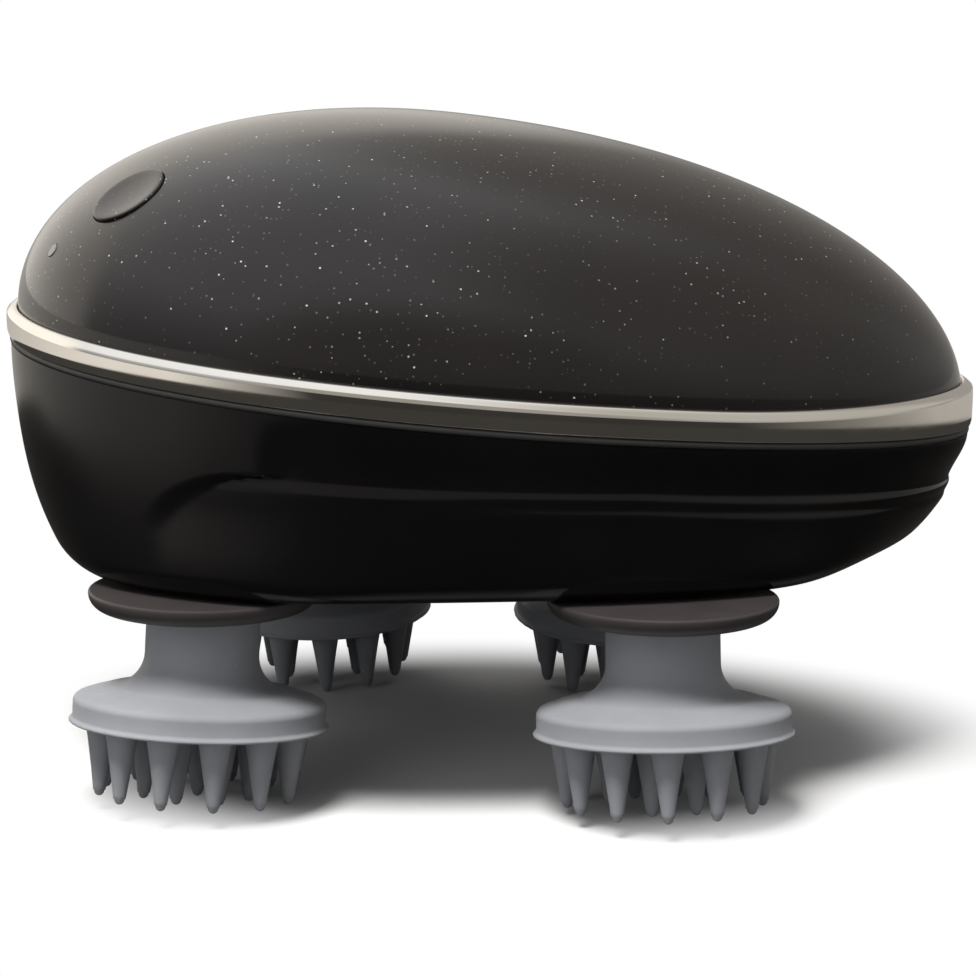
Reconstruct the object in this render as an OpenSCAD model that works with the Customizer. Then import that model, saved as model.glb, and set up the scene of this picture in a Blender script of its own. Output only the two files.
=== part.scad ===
// Cordless scalp massager: an egg-shaped housing on four kneading silicone heads.
// Millimetres. +X points to the narrow end, +Z up, and the origin is on the floor under the middle.

/* [Housing] */
// Length of the housing
body_length = 130; // [124:1:140]
// Width of the housing
body_width = 99; // [96:1:106]
// How much wider the blunt end is than the narrow end
egg_factor = 0.19; // [0.10:0.01:0.22]
// Wall of the two shells
shell_wall = 2.2; // [1.8:0.1:2.4]

/* [Seam and band] */
// Height of the middle of the band over the floor, at the middle of the housing
seam_height = 53.2; // [52:0.2:56]
// Slope of the seam down towards the narrow end, in degrees
seam_tilt = 5.2; // [4:0.2:6]
// Height of the bright band
band_height = 3.9; // [3.5:0.1:4.5]
// Extra height of the band at the narrow tip
band_rise = 2.2; // [1:0.1:2.6]
// Thickness of the band
band_wall = 1.2; // [1:0.1:1.5]
// Swell of the band's face beyond the shells
band_swell = 0.25; // [0.1:0.05:0.4]
// Width of the flange that the band sits on
band_flange = 3.2; // [2.8:0.1:3.4]
// Thickness of the soft seal between band and lower shell
gasket_height = 0.9; // [0.6:0.1:1.2]

/* [Dome] */
// Height of the dome over the band
dome_rise = 30.6; // [29.6:0.2:34]
// Place of the dome's peak along the housing
dome_peak_x = -5.4; // [-9:0.2:-2]
// Roundness of the dome near its rim
dome_round = 0.96; // [0.90:0.01:1.02]
// Swell of the dome near its peak
dome_swell = 1.01; // [0.97:0.01:1.06]

/* [Lower shell] */
// Depth that the lower shell's curve aims for, under the seal
hull_depth = 28.8; // [28.6:0.1:29.4]
// Place of the deepest point of that curve
hull_keel_x = -42; // [-44:1:-40]
// Roundness of the lower shell lengthwise
hull_round = 0.49; // [0.47:0.01:0.51]
// Swell of the lower shell's side
hull_swell = 0.99; // [0.96:0.01:1.02]
// Share of the roundness that the flanks take, less being fuller
flank_share = 0.08; // [0.06:0.01:0.12]
// Share of the roundness taken away over the heads, where the shell is fullest
head_fullness = 0.92; // [0.88:0.01:0.96]
// Radius of the bend into the flat belly
belly_bend = 3.2; // [2.8:0.1:3.6]
// Depth of the finger groove under the seal at the narrow end
groove_depth = 1.35; // [1.2:0.05:1.8]
// Depth of the groove along the flanks
groove_flank = 0.6; // [0.5:0.05:0.9]
// Depth of the groove at the blunt end
groove_back = 0.15; // [0.1:0.05:0.4]
// Drop from the seal to the groove's crease at the narrow end
groove_drop = 5.8; // [5:0.1:6.6]
// Extra drop of the crease for each millimetre towards the blunt end
groove_slope = 0.045; // [0.03:0.005:0.05]
// Where the grip pad begins, along the housing
pad_start_x = -44; // [-46:1:-40]
// Thickness of the belly
floor_wall = 2.6; // [2.2:0.1:3]

/* [Massage heads] */
// Distance between the shafts along the housing
shaft_pitch_x = 52.8; // [52:0.2:53.6]
// Place of the middle of the four shafts
shaft_mid_x = -4.85; // [-6:0.05:-4]
// Offset of each head from its shaft, which makes it knead
crank_offset = 5; // [3:0.5:5.5]
// Lean of the soft heads under load, in degrees
head_lean = 6; // [0:1:7]
// Height of a head from its tips to the collar
head_height = 24.6; // [24:0.1:27]
// Radius of the collar
collar_r = 14.7; // [14:0.1:15]
// Thickness of the collar
collar_height = 2.4; // [2.4:0.1:2.8]
// Rounding of the collar's lower edge
collar_round = 2; // [1.6:0.1:2]
// Gap between the turning collars and the housing
collar_gap = 0.3; // [0.3:0.1:0.6]
// Radius of the soft neck
neck_r = 7.3; // [7:0.1:7.8]
// Radius of the soft flange
flange_r = 16.2; // [15.6:0.1:16.6]
// Height of the flange's wall
flange_wall = 3.6; // [3.2:0.1:4]
// Overhang of the thin moulding lip
lip_overhang = 0.45; // [0.3:0.05:0.6]
// Length of the nodes under the flange
node_length = 9.3; // [8.5:0.1:10]
// Radius of a node at its root
node_root_r = 2.1; // [1.9:0.05:2.2]
// Radius of a node's tip
node_tip_r = 0.65; // [0.6:0.05:0.9]
// Circle of the outer nodes at their tips
node_circle = 12.4; // [12:0.1:12.8]
// Circle of the inner nodes
node_inner_circle = 7.2; // [6.8:0.1:7.4]
// Number of outer nodes
outer_nodes = 12; // [10:1:12]
// Number of inner nodes
inner_nodes = 8; // [6:1:8]
// Radius of the stiff core in the neck
core_r = 5.2; // [4.8:0.1:5.6]
// Radius of the core's plate in the flange
core_plate_r = 12; // [11:0.5:13]
// Thickness of the core's plate
core_plate = 1.8; // [1.5:0.1:2.2]

/* [Gear train] */
// Module of the large gears
gear_module = 0.9; // [0.9:0.01:0.91]
// Teeth of the central gear
sun_teeth = 78; // [78:1:79]
// Teeth of the gears on the head shafts
head_teeth = 12; // [12:1:12]
// Face width of the large gears
gear_width = 4; // [3.6:0.1:4.2]
// Module of the fast gears
fast_module = 0.6; // [0.58:0.01:0.62]
// Teeth of the large fast gear
idler_teeth = 40; // [38:1:41]
// Teeth of the motor pinion
pinion_teeth = 12; // [12:1:13]
// Face width of the fast gears
fast_width = 2.4; // [2:0.1:2.6]
// Play between meshed teeth
backlash = 0.16; // [0.12:0.01:0.2]
// Radial running clearance of shafts and pins
run_gap = 0.05; // [0.04:0.01:0.06]
// Diameter of the head shafts
shaft_d = 5; // [4.6:0.1:5.2]
// Diameter of the central gear's axle
sun_axle_d = 4; // [3:0.1:5]
// Diameter of the idler gear's pin
idler_pin_d = 3; // [2.5:0.1:3.2]
// Thickness of the gearbox cover
cover_height = 2; // [1.8:0.1:2.2]

/* [Motor] */
// Diameter of the motor
motor_d = 24.4; // [22:0.2:25]
// Length of the motor's reduction stage
reducer_length = 7; // [6:0.5:8]
// Length of the motor can
motor_length = 13; // [12:0.5:14]
// Diameter of the motor's shaft
motor_shaft_d = 3; // [2.6:0.1:3.2]

/* [Battery and electronics] */
// Length of the battery
battery_length = 42; // [38:1:43]
// Width of the battery
battery_width = 30; // [26:1:31]
// Thickness of the battery
battery_height = 8; // [7:0.5:8.5]
// Wall of the battery tray
tray_wall = 1; // [0.8:0.1:1.2]
// Length of the circuit board
board_length = 26; // [24:1:27]
// Width of the circuit board
board_width = 20; // [18:1:22]
// Thickness of the circuit board
board_height = 1.2; // [1:0.1:1.6]
// Width of the charging socket
socket_width = 8.9; // [8.4:0.1:9.4]
// Height of the charging socket
socket_height = 3.2; // [3:0.1:3.4]
// Depth of the charging socket
socket_depth = 7.4; // [6.8:0.1:8]

/* [Button, light and port cover] */
// Bearing of the button on the dome, in degrees from the narrow end
button_bearing = 212.2; // [208.2:0.5:214.2]
// Climb of the button up the dome, in degrees
button_climb = 35.8; // [34.3:0.5:37.3]
// Radius of the button
button_r = 5.2; // [4.8:0.1:5.4]
// Gap around the button
button_gap = 0.15; // [0.1:0.05:0.2]
// Travel of the button
button_travel = 0.5; // [0.3:0.1:0.6]
// Bearing of the light on the dome, in degrees from the narrow end
light_bearing = 205; // [200:1:207]
// Climb of the light up the dome, in degrees
light_climb = 18; // [16:1:20]
// Radius of the light
light_r = 0.9; // [0.7:0.1:1.2]
// Width of the port cover
flap_width = 13; // [12:0.5:14]
// Height of the port cover
flap_height = 7; // [6.6:0.1:7.6]
// Thickness of the port cover
flap_thick = 1.5; // [1.3:0.1:1.7]
// Gap around the port cover
flap_gap = 0.2; // [0.15:0.05:0.3]

/* [Screws] */
// Diameter of the housing screws
screw_d = 2.6; // [2.2:0.1:3]
// Length of the housing screws under the head
screw_length = 14; // [13:0.5:15]
// Diameter of the small screws
small_screw_d = 2; // [1.8:0.1:2.2]

/* [Hidden] */
$fn = 48;

// ---- derived sizes ----
half_l = body_length / 2;
half_w = body_width / 2 / (1 + egg_factor * egg_factor / 2);
slope = tan(seam_tilt);
steps = 72;
dome_rings = 14;
hull_rings = 18;
lining_rings = 10;
slack = 0.1;
big = 300;

shell_inset = band_wall + slack;
rim_inset = 0.3;
dome_base = band_height / 2;
band_foot = 1;
gasket_low = -band_height / 2 - gasket_height;

// How much a soft tip flattens where the object stands on it
tip_flat = 0.1;
// Height of the collars' underside, so that the lowest leaning tips rest on the floor
collar_z = (head_height - node_tip_r) * cos(head_lean) + node_circle * sin(head_lean)
  + node_tip_r - tip_flat;
collar_top = collar_z + collar_height;
ceiling_z = collar_top + collar_gap;
floor_mid = ceiling_z + floor_wall / 2;
floor_z = ceiling_z + floor_wall;

centre_distance = gear_module * (sun_teeth + head_teeth) / 2;
shaft_y = sqrt(pow(centre_distance, 2) - pow(shaft_pitch_x / 2, 2));
shafts = [[shaft_mid_x - shaft_pitch_x / 2, -shaft_y], [shaft_mid_x + shaft_pitch_x / 2, -shaft_y],
  [shaft_mid_x - shaft_pitch_x / 2, shaft_y], [shaft_mid_x + shaft_pitch_x / 2, shaft_y]];
// Directions of the cranks, of the lean and of the first node of heads 1 to 4
crank_angles = [236, 305, 45, 135];
lean_angles = [250, 285, 90, 90];
node_angles = [8, 18, 10, 24];

bush_r = shaft_d / 2 + 1.8;
bush_flange_r = bush_r + 1.4;
boss_z = floor_z + 3.4;
gear_z = boss_z + 1.2;
fast_z = gear_z + gear_width + 0.5;
cover_z = fast_z + fast_width + 1;
cover_top = cover_z + cover_height;
idler_x = shaft_mid_x + gear_module * (sun_teeth + head_teeth) / 2;
fast_distance = fast_module * (idler_teeth + pinion_teeth) / 2;
motor_x = idler_x - fast_distance;
sun_tip_r = gear_module * (sun_teeth / 2 + 0.8);
boss_r = bush_flange_r + 0.4;

post_r = 4.2;
post_grip = 10;
rib = 2.4;
post_places = [[-half_l + 13, half_w * 0.33], [idler_x + 8.9, half_w * 0.32]];
housing_posts = [for (p = post_places, side = [-1, 1]) [p[0], side * p[1]]];
cover_post_r = 3;
screw_head_r = 2.4;
screw_head_h = 1.8;
well_r = screw_head_r + 0.4;
small_head_r = 1.9;
small_head_h = 1.3;

battery_x = -half_l + 43;
cover_places = [[battery_x - battery_length / 2 - tray_wall - cover_post_r, cover_post_r * 3],
  [shaft_mid_x + shaft_pitch_x / 2 + boss_r + 2.3, shaft_y - boss_r + 0.4]];
cover_posts = [for (p = cover_places, side = [-1, 1]) [p[0], side * p[1]]];
tray_depth = 5;
motor_screw_y = 8;
motor_head_h = 0.8;
board_drop = 9;
board_shift = -4;
board_post_r = 2.2;
board_screw_x = board_length / 2 - 3;
board_screw_length = 4.5;
guide_low = -2.9;
button_flange_r = button_r + 0.9;
switch_size = 6;
switch_height = 3.4;
button_proud = 0.08;
button_dish_r = 40;
guide_wall = 1.2;
stem_r = 1.6;
plunger_r = 1.7;

flap_z = 46.4;
socket_z = flap_z - socket_height / 2;
flap_back_x = -half_l + 3.6;
flap_face_x = flap_back_x - flap_thick;
flap_hinge_z = flap_z - flap_height / 2;
hinge_r = 0.45;
hinge_length = 5;

// ---- outlines ----
function signed_power(v, p) = v < 0 ? -pow(-v, p) : pow(v, p);
function smooth(v) = let (u = min(1, max(0, v))) u * u * (3 - 2 * u);
function egg(t) = [half_l * cos(t), half_w * sin(t) * (1 - egg_factor * cos(t))];
function egg_tangent(t) = [-half_l * sin(t),
  half_w * (cos(t) * (1 - egg_factor * cos(t)) + egg_factor * sin(t) * sin(t))];
function egg_out(t) = let (d = egg_tangent(t)) [d[1], -d[0]] / norm(d);
function outline(t, out) = egg(t) + out * egg_out(t);
function seam_z(x) = seam_height - slope * x;
function on_seam(p, h) = [p[0], p[1], seam_z(p[0]) + h];
// Height at which a housing screw's head seats
function seat_z(p) = seam_z(p[0]) - dome_base + band_foot - post_grip;
// Top of the dome's post over a housing screw
function post_top(p) = seat_z(p) + screw_length + 2.5;
function tip_share(x) = let (u = max(0, (x - 0.46 * half_l) / (0.54 * half_l))) u * u;

// Point of the dome at bearing t and climb s; inset moves it in from the outer surface
function dome_point(t, s, inset = 0) = let (
    rim = outline(t, -shell_inset - inset), c = pow(cos(s), dome_round),
    h = (dome_rise - inset) * pow(sin(s), dome_swell),
    x = dome_peak_x + (rim[0] - dome_peak_x) * c)
  [x, rim[1] * c, seam_z(x) + dome_base + h];
function dome_normal(t, s) = let (
    along = dome_point(t + 0.1, s) - dome_point(t - 0.1, s),
    climbing = dome_point(t, s + 0.1) - dome_point(t, s - 0.1), n = cross(along, climbing))
  n / norm(n);

// Depth of the groove at a drop under the seal: full at the crease, then let out in two soft steps
function groove(drop, crease) =
  drop < crease ? smooth(drop / crease)
    : 1 - 0.35 * smooth((drop - crease) / 1.2) - 0.25 * smooth((drop - crease - 2) / 1.2)
      - 0.4 * smooth((drop - crease - 4) / 7);
function end_groove(drop, crease) =
  drop < crease ? smooth(drop / crease) : 1 - smooth((drop - crease) / 16);
function groove_at(x, drop) = let (
    crease = groove_drop - min(0, groove_slope * (x - 22)),
    deep = groove_flank + (groove_depth - groove_flank) * tip_share(x),
    corner = 10 * pow(max(0, 1 - max(0, drop - crease) / 6), 2),
    right = smooth((x - pad_start_x - corner + 1.5) / 3))
  deep * right * groove(drop, crease) + groove_back * (1 - right) * end_groove(drop, crease);

// Point of the lower shell at bearing t and climb s under the seal, down to a flat belly
function fullness(t) = pow(sin(2 * t) * sin(t), 2) / 0.5625;
function hull_point(t, s, inset = 0, lowest = 0) = let (
    rim = outline(t, -rim_inset), n = egg_out(t),
    c = pow(cos(s), hull_round * (1 - head_fullness * fullness(t))),
    drop = hull_depth * pow(sin(s), hull_swell),
    x = hull_keel_x + (rim[0] - hull_keel_x) * c, y = rim[1] * pow(c, flank_share),
    fall = seam_z(x) + gasket_low - drop - lowest,
    turn = min(90, max(0, 1 - fall / belly_bend) * 180 / PI),
    in = inset + groove_at(x, drop) * c + belly_bend * (1 - cos(turn)))
  [x - in * n[0], y - in * n[1], lowest + max(fall, belly_bend * (1 - sin(turn)))];

// Climb that lies just past the bend, on the flat belly
function belly_climb(t, lowest) = let (
    x = hull_keel_x + 0.8 * (outline(t, 0)[0] - hull_keel_x),
    share = (seam_z(x) + gasket_low - lowest + 0.7 * belly_bend) / hull_depth)
  asin(min(0.998, pow(share, 1 / hull_swell)));

// ---- closed surfaces made of rings with the same number of points ----
module ring_solid(rings, closed = false) {
  count = len(rings);
  n = len(rings[0]);
  points = concat([for (r = rings) each r], closed ? [] : [middle(rings[0]), middle(rings[count - 1])]);
  last = closed ? count : count - 1;
  side = [for (i = [0:last - 1], j = [0:n - 1]) let (k = (j + 1) % n, m = (i + 1) % count)
    each [[i * n + j, m * n + j, i * n + k], [i * n + k, m * n + j, m * n + k]]];
  caps = closed ? [] : [for (j = [0:n - 1]) let (k = (j + 1) % n, top = (count - 1) * n)
    each [[count * n, j, k], [count * n + 1, top + k, top + j]]];
  polyhedron(points = points, faces = concat(side, caps), convexity = 6);
}
function middle(ring) = [for (a = [0:2]) sum([for (p = ring) p[a]]) / len(ring)];
function sum(v, i = 0) = i < len(v) ? v[i] + sum(v, i + 1) : 0;

function bearings() = [for (j = [0:steps - 1]) j * 360 / steps];

// Solid under the dome's surface, down to a level of the seam
module dome_solid(inset, foot) {
  skirt = [for (t = bearings()) on_seam(outline(t, -shell_inset - inset), foot)];
  climbs = [for (i = [0:dome_rings - 1]) 86 * pow(i / (dome_rings - 1), 0.9)];
  rings = [for (s = climbs) [for (t = bearings()) dome_point(t, s, inset)]];
  ring_solid(concat([skirt], rings));
}

// Solid inside the lower shell's surface, with straight walls carried above the rim by a height
module hull_solid(inset, lowest, rings_wanted, above = 0) {
  rings = [for (i = [rings_wanted - 1:-1:0]) [for (t = bearings())
    hull_point(t, belly_climb(t, lowest) * i / (rings_wanted - 1), inset, lowest)]];
  collar_ring = [for (p = rings[rings_wanted - 1]) p + [0, 0, above]];
  ring_solid(above > 0 ? concat(rings, [collar_ring]) : rings);
}

// Strip along the seam: section points are [out, level, share of the tip's rise]
module seam_strip(section) {
  ring_solid([for (j = [0:steps]) let (t = -(j % steps) * 360 / steps)
    [for (p = section) let (q = outline(t, p[0]), rise = p[2] * band_rise * tip_share(q[0]))
      [q[0], q[1], seam_z(q[0]) + p[1] + rise]]],
    closed = true);
}

module below_seam(level) {
  translate([0, 0, seam_height + level]) rotate([0, seam_tilt, 0])
    translate([-big / 2, -big / 2, -big]) cube(big);
}

module at_dome(t, s) {
  p = dome_point(t, s);
  n = dome_normal(t, s);
  translate(p) rotate([0, acos(n[2]), atan2(n[1], n[0])]) children();
}

module rod(d, z0, z1) {
  translate([0, 0, z0]) cylinder(d = d, h = z1 - z0);
}

module tube(r_out, r_in, z0, z1) {
  translate([0, 0, z0]) rotate_extrude() translate([r_in, 0]) square([r_out - r_in, z1 - z0]);
}

// Flat bar with a round end at the second place
module arm(from, to, r, z0, z1) {
  d = to - from;
  translate([from[0], from[1], z0]) rotate(atan2(d[1], d[0])) union() {
    translate([0, -r, 0]) cube([norm(d), 2 * r, z1 - z0]);
    translate([norm(d), 0, 0]) cylinder(r = r, h = z1 - z0);
  }
}

module at_each(places) {
  for (p = places) translate([p[0], p[1], 0]) children();
}

// ---- gears ----
pressure_angle = 25;
addendum = 0.8;
dedendum = 1.05;
flank_points = 4;
function involute(rb, r) = let (a = acos(min(1, rb / r))) tan(a) * 180 / PI - a;
function gear_outline(m, z) = let (
    rp = m * z / 2, rb = rp * cos(pressure_angle), ro = rp + addendum * m,
    rr = rp - dedendum * m, rs = max(rb, rr),
    half = 90 / z + involute(rb, rp) - backlash / 2 / (2 * rp) * 180 / PI,
    radii = [for (i = [0:flank_points - 1]) rs + (ro - rs) * i / (flank_points - 1)])
  [for (i = [0:z - 1]) let (a = i * 360 / z)
    each concat(rr < rb ? [rr * [cos(a - half), sin(a - half)]] : [],
      [for (r = radii) let (b = a - half + involute(rb, r)) r * [cos(b), sin(b)]],
      [for (k = [flank_points - 1:-1:0]) let (r = radii[k], b = a + half - involute(rb, r))
        r * [cos(b), sin(b)]],
      rr < rb ? [rr * [cos(a + half), sin(a + half)]] : [])];
// Turn of a gear so that its gap faces the other gear's tooth, along direction d from that gear
function mesh_turn(z_here, z_other, d, other_turn = 0) =
  d + 180 + (d - other_turn) * z_other / z_here + 180 / z_here;

module gear_body(m, z, width, bore_r, turn) {
  difference() {
    rotate(turn) linear_extrude(width) polygon(gear_outline(m, z));
    translate([0, 0, -1]) cylinder(r = bore_r, h = width + 2);
  }
}

// ---- housing ----
module top_shell() {
  color([0.05, 0.045, 0.045]) difference() {
    union() {
      difference() {
        dome_solid(0, -dome_base + band_foot);
        dome_solid(shell_wall, -dome_base - slack);
      }
      intersection() {
        dome_solid(shell_wall / 2, -dome_base + band_foot);
        union() {
          for (p = housing_posts) translate([p[0], p[1], 0]) union() {
            rod(2 * post_r, 0, post_top(p));
            rotate(p[0] < 0 ? 180 : 0) translate([0, -rib / 2, 0]) cube([half_l, rib, post_top(p)]);
          }
          at_dome(button_bearing, button_climb)
            rod(2 * (button_r + button_gap + guide_wall), guide_low, 2);
          at_dome(button_bearing, button_climb)
            for (x = [-1, 1]) translate([board_shift + x * board_screw_x, 0, -board_drop])
              cylinder(r = board_post_r, h = dome_rise);
        }
      }
    }
    for (p = housing_posts) translate([p[0], p[1], 0])
      rod(screw_d - 0.2, 0, seat_z(p) + screw_length + 1);
    at_dome(button_bearing, button_climb) union() {
      rod(2 * (button_r + button_gap), -7, 5);
      rod(2 * (button_flange_r + button_gap), -7, guide_low);
    }
    at_dome(button_bearing, button_climb) for (x = [-1, 1])
      translate([board_shift + x * board_screw_x, 0, -board_drop - 1])
        cylinder(d = small_screw_d - 0.2, h = board_screw_length + 0.5);
    at_dome(light_bearing, light_climb) translate([0, 0, -8]) cylinder(r = light_r + slack, h = 12);
  }
}

module lower_shell() {
  color([0.03, 0.03, 0.03]) difference() {
    union() {
      difference() {
        hull_solid(0, ceiling_z, hull_rings);
        hull_solid(shell_wall, floor_z, lining_rings, 1);
      }
      intersection() {
        hull_solid(shell_wall / 2, floor_mid, lining_rings);
        union() {
          at_each(shafts) rod(2 * boss_r, floor_mid, boss_z);
          translate([shaft_mid_x, 0, 0]) rod(sun_axle_d + 5, floor_mid, gear_z - 0.3);
          translate([idler_x, 0, 0]) rod(idler_pin_d + 4, floor_mid, gear_z - 0.3);
          at_each(cover_posts) rod(2 * cover_post_r, floor_mid, cover_z);
          translate([flap_back_x - 5, -flap_width / 2 - 3, flap_z - flap_height / 2 - 2.5])
            cube([7, flap_width + 6, flap_height + 5]);
          translate([flap_back_x, -socket_width / 2 - 1, floor_mid])
            cube([socket_depth + 2, socket_width + 2, socket_z - floor_mid]);
        }
      }
      intersection() {
        below_seam(-dome_base + band_foot);
        hull_solid(shell_wall / 2, floor_mid, lining_rings, 3);
        at_each(housing_posts) rod(2 * post_r, floor_mid, big);
      }
    }
    at_each(shafts) rod(2 * bush_r, 0, boss_z + 1);
    at_each(shafts) rod(2 * bush_flange_r + 0.4, boss_z, cover_top);
    at_each(shafts) rod(2 * bush_flange_r, 0, ceiling_z + 1.8);
    at_each(housing_posts) rod(screw_d + 0.4, 0, big);
    for (p = housing_posts) translate([p[0], p[1], 0]) rod(2 * well_r, 0, seat_z(p));
    at_each(cover_posts) rod(small_screw_d - 0.2, cover_z - 6, cover_z + 1);
    translate([shaft_mid_x, 0, 0]) rod(sun_axle_d, ceiling_z + 1.2, gear_z + 1);
    translate([idler_x, 0, 0]) rod(idler_pin_d, ceiling_z + 1.2, gear_z + 1);
    translate([0, 0, flap_z]) flap_pill(flap_gap, flap_back_x - 12, flap_back_x);
    hinge_bead(run_gap);
    translate([flap_back_x - 1, -socket_width / 2 - slack / 2, socket_z])
      cube([socket_depth + 3, socket_width + slack, socket_height + slack]);
  }
}

// Bead along the lower edge of the port cover, on its hinge line
module hinge_bead(grow) {
  translate([flap_face_x, 0, flap_hinge_z]) rotate([90, 0, 0])
    cylinder(r = hinge_r + grow, h = hinge_length + 4 * grow, center = true);
}

// Rounded plate facing along X between two places
module flap_pill(grow, x0, x1) {
  translate([x0, 0, 0]) rotate([90, 0, 90]) linear_extrude(x1 - x0)
    pill((flap_width - flap_height) / 2, flap_height / 2 + grow);
}

module chrome_band() {
  low = -band_height / 2;
  high = band_height / 2;
  bevel = 0.9;
  color([0.9, 0.88, 0.84]) seam_strip([
    [-band_flange, low, 0], [0, low, 0], [band_swell, low + bevel, 0], [band_swell, high - bevel, 1],
    [-band_wall + 0.2, high, 1], [-band_wall, low + band_foot, 0], [-band_flange, low + band_foot, 0]]);
}

module seam_gasket() {
  color([0.13, 0.13, 0.13]) seam_strip([
    [-band_flange, gasket_low, 0], [-rim_inset / 2, gasket_low, 0],
    [-rim_inset / 2, gasket_low + gasket_height, 0], [-band_flange, gasket_low + gasket_height, 0]]);
}

// ---- gearbox ----
module gearbox_cover() {
  color([0.85, 0.85, 0.82]) difference() {
    union() {
      translate([shaft_mid_x, 0, 0]) rod(2 * (sun_tip_r + 2), cover_z, cover_top);
      at_each(shafts) rod(shaft_d + 6, cover_z, cover_top);
      translate([idler_x, 0, 0]) rod(idler_pin_d + 7, cover_z, cover_top);
      for (p = cover_posts) arm([shaft_mid_x, 0], p, cover_post_r + 0.5, cover_z, cover_top);
    }
    at_each(shafts) rod(shaft_d + 2 * run_gap, cover_z - 1, cover_top + 1);
    at_each(cover_posts) rod(small_screw_d + 0.2, cover_z - 1, cover_top + 1);
    translate([shaft_mid_x, 0, 0]) rod(sun_axle_d, cover_z - 1, cover_top + 1);
    translate([idler_x, 0, 0]) rod(idler_pin_d, cover_z - 1, cover_top + 1);
    translate([motor_x, 0, 0]) rod(motor_shaft_d + 1, cover_z - 1, cover_top + 1);
    for (y = [-1, 1]) translate([motor_x, y * motor_screw_y, 0])
      rod(small_screw_d + 0.2, cover_z - 1, cover_top + 1);
  }
}

module shaft_bushes() {
  color([0.75, 0.6, 0.3]) at_each(shafts) difference() {
    union() {
      rod(2 * bush_r, ceiling_z + 1.8, boss_z);
      rod(2 * bush_flange_r, boss_z, boss_z + 0.8);
    }
    rod(shaft_d + 2 * run_gap, 0, big);
  }
}

module shaft_seals() {
  color([0.1, 0.1, 0.1]) at_each(shafts)
    tube(bush_flange_r, shaft_d / 2 + run_gap, ceiling_z + 0.1, ceiling_z + 1.7);
}

module sun_axle() {
  color([0.7, 0.7, 0.72]) translate([shaft_mid_x, 0, 0]) rod(sun_axle_d, ceiling_z + 1.2, cover_top);
}

module idler_pin() {
  color([0.7, 0.7, 0.72]) translate([idler_x, 0, 0]) rod(idler_pin_d, ceiling_z + 1.2, cover_top);
}

module sun_gear() {
  color([0.92, 0.92, 0.88]) translate([shaft_mid_x, 0, gear_z]) difference() {
    gear_body(gear_module, sun_teeth, gear_width, sun_axle_d / 2 + run_gap, 0);
    for (side = [-0.01, gear_width - 1.2]) translate([0, 0, side])
      rotate_extrude() translate([sun_axle_d / 2 + 3, 0]) square([sun_tip_r - sun_axle_d / 2 - 8, 1.21]);
    for (a = [0:60:300]) rotate(a) translate([sun_tip_r / 2, 0, -1])
      cylinder(r = sun_tip_r / 6, h = gear_width + 2);
  }
}

module idler_gear() {
  turn = mesh_turn(head_teeth, sun_teeth, 0);
  color([0.92, 0.92, 0.88]) translate([idler_x, 0, 0]) difference() {
    union() {
      translate([0, 0, gear_z]) rotate(turn) linear_extrude(fast_z - gear_z)
        polygon(gear_outline(gear_module, head_teeth));
      translate([0, 0, fast_z]) linear_extrude(fast_width) polygon(gear_outline(fast_module, idler_teeth));
    }
    rod(idler_pin_d + 2 * run_gap, 0, big);
  }
}

module motor_pinion() {
  turn = mesh_turn(pinion_teeth, idler_teeth, 180);
  color([0.8, 0.65, 0.3]) translate([motor_x, 0, fast_z])
    gear_body(fast_module, pinion_teeth, fast_width, motor_shaft_d / 2, turn);
}

module motor_shaft() {
  color([0.7, 0.7, 0.72]) translate([motor_x, 0, 0]) rod(motor_shaft_d, fast_z, cover_top + 4);
}

module motor_reducer() {
  color([0.5, 0.5, 0.52]) translate([motor_x, 0, 0]) difference() {
    rod(motor_d, cover_top, cover_top + reducer_length);
    rod(motor_shaft_d + 2 * run_gap, 0, cover_top + 4.2);
    for (y = [-1, 1]) translate([0, y * motor_screw_y, 0]) rod(small_screw_d - 0.2, 0, cover_top + 3.5);
  }
}

module motor_can() {
  top = cover_top + reducer_length + motor_length;
  color([0.7, 0.7, 0.72]) translate([motor_x, 0, 0]) union() {
    rod(motor_d - 0.4, cover_top + reducer_length, top - 1);
    rod(motor_d - 2.4, top - 1, top);
    rod(7, top, top + 1.2);
  }
}

module screw(d, head_r, head_h, length) {
  union() {
    translate([0, 0, -head_h]) cylinder(r = head_r, h = head_h);
    cylinder(d = d, h = length);
  }
}

module motor_screws() {
  color([0.6, 0.6, 0.62]) for (y = [-1, 1]) translate([motor_x, y * motor_screw_y, cover_z])
    screw(small_screw_d - 0.2, small_head_r, motor_head_h, cover_height + 3);
}

module cover_screws() {
  color([0.6, 0.6, 0.62]) at_each(cover_posts) translate([0, 0, cover_top]) mirror([0, 0, 1])
    screw(small_screw_d - 0.2, small_head_r, small_head_h, cover_height + 5);
}

module housing_screws() {
  color([0.6, 0.6, 0.62]) for (p = housing_posts) translate([p[0], p[1], seat_z(p)])
    screw(screw_d - 0.2, screw_head_r, screw_head_h, screw_length);
}

// ---- battery and electronics ----
module battery_tray() {
  l = battery_length + 2 * (tray_wall + slack);
  w = battery_width + 2 * (tray_wall + slack);
  color([0.85, 0.85, 0.82]) translate([battery_x, 0, cover_top]) difference() {
    translate([-l / 2, -w / 2, 0]) cube([l, w, tray_depth]);
    translate([-battery_length / 2 - slack, -battery_width / 2 - slack, tray_wall])
      cube([battery_length + 2 * slack, battery_width + 2 * slack, 2 * tray_depth]);
  }
}

module battery() {
  color([0.3, 0.35, 0.6])
    translate([battery_x - battery_length / 2, -battery_width / 2, cover_top + tray_wall])
      cube([battery_length, battery_width, battery_height]);
}

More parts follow.
